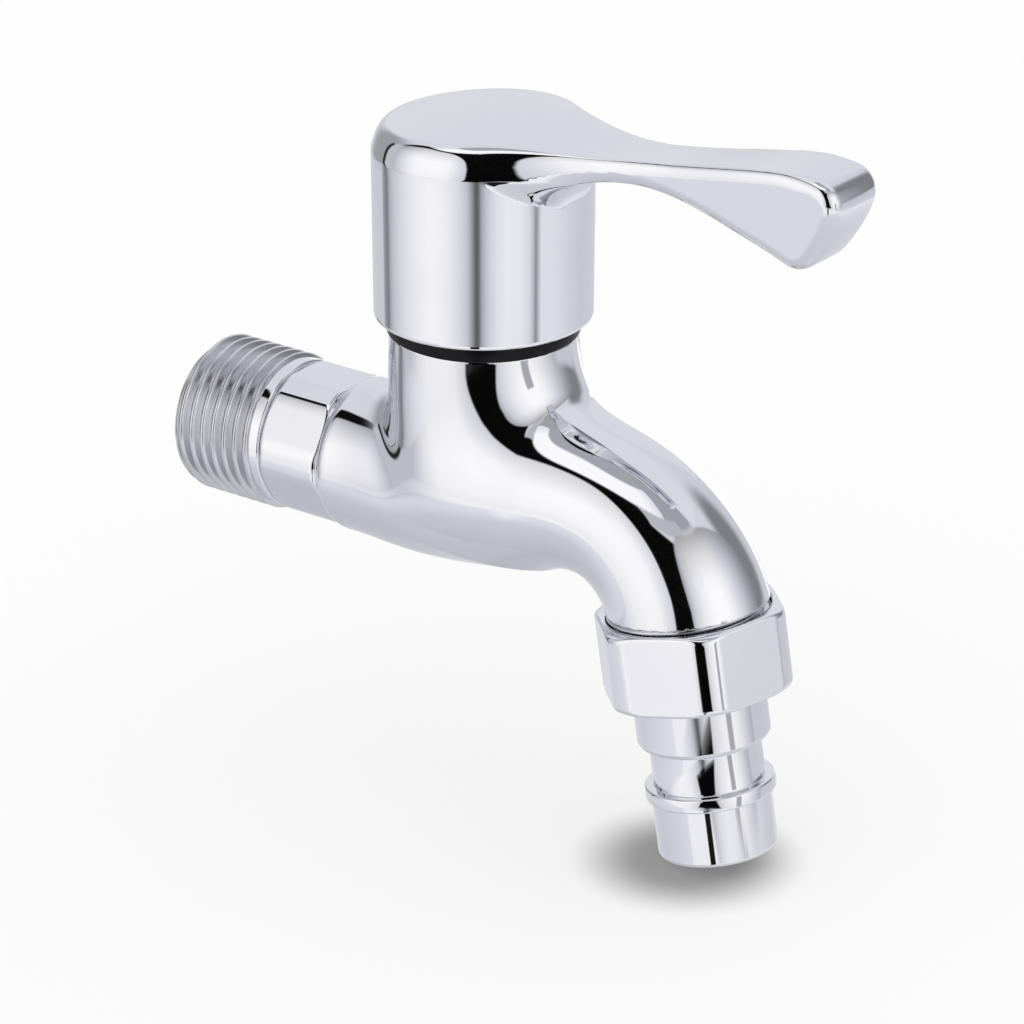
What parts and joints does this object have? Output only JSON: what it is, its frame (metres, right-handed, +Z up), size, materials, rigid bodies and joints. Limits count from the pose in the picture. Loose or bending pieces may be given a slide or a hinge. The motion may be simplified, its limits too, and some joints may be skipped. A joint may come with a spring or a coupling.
{
  "type": "washing machine tap",
  "caption": "Lever bib tap with a threaded wall shank, a bent spout, and a union nut that holds a stepped hose nozzle.",
  "frame": {"origin": "on the inlet axis where the threaded shank ends at its collar ring", "axes": "+X out of the wall towards the spout and the lever at rest, +Z up, y = 0 is the plane of symmetry"},
  "size_m": [0.0999, 0.0282, 0.0962],
  "materials": {
    "chrome_plate": "mirror polished plating",
    "black_plastic": "glossy",
    "grey_plastic": "moulded",
    "raw_brass": "turned",
    "rubber": "matt",
    "disc_ceramic": "lapped",
    "steel": "bright",
    "white_plastic": "moulded"
  },
  "bodies": {
    "tap_unit": {"tap_body": "chrome_plate", "cartridge_housing": "raw_brass", "head_gasket": "rubber", "base_seal": "rubber", "fixed_disc": "disc_ceramic", "thrust_washer": "white_plastic", "handle_ring": "black_plastic"},
    "handle_unit": {"handle": "chrome_plate", "spline_bush": "grey_plastic", "handle_grub_screw": "steel", "grub_screw_plug": "grey_plastic", "spindle": "raw_brass", "spindle_ring_low": "rubber", "spindle_ring_high": "rubber", "spindle_clip": "steel", "moving_disc": "disc_ceramic"},
    "nozzle_unit": {"nozzle": "chrome_plate", "nozzle_gasket": "rubber", "strainer": "steel"},
    "nut_unit": {"union_nut": "chrome_plate"}
  },
  "joints": [
    {"name": "handle_turn", "type": "hinge", "parent": "tap_unit", "child": "handle_unit", "pos_m": [0.03108, 0, 0], "axis": [0, 0, 1], "range_deg": [0, 90]},
    {"name": "nozzle_drop", "type": "slide", "parent": "tap_unit", "child": "nozzle_unit", "axis": [0.1616, 0, -0.9869], "range_m": [0, 0.00544]},
    {"name": "union_nut_turn", "type": "hinge", "parent": "nozzle_unit", "child": "nut_unit", "pos_m": [0.06704, 0, -0.03109], "axis": [0.1616, 0, -0.9869], "range_deg": [0, 1080]}
  ],
  "couplings": [
    {"joint": "union_nut_turn", "follows": "nozzle_drop", "rad_per_m": 3463.2}
  ]
}
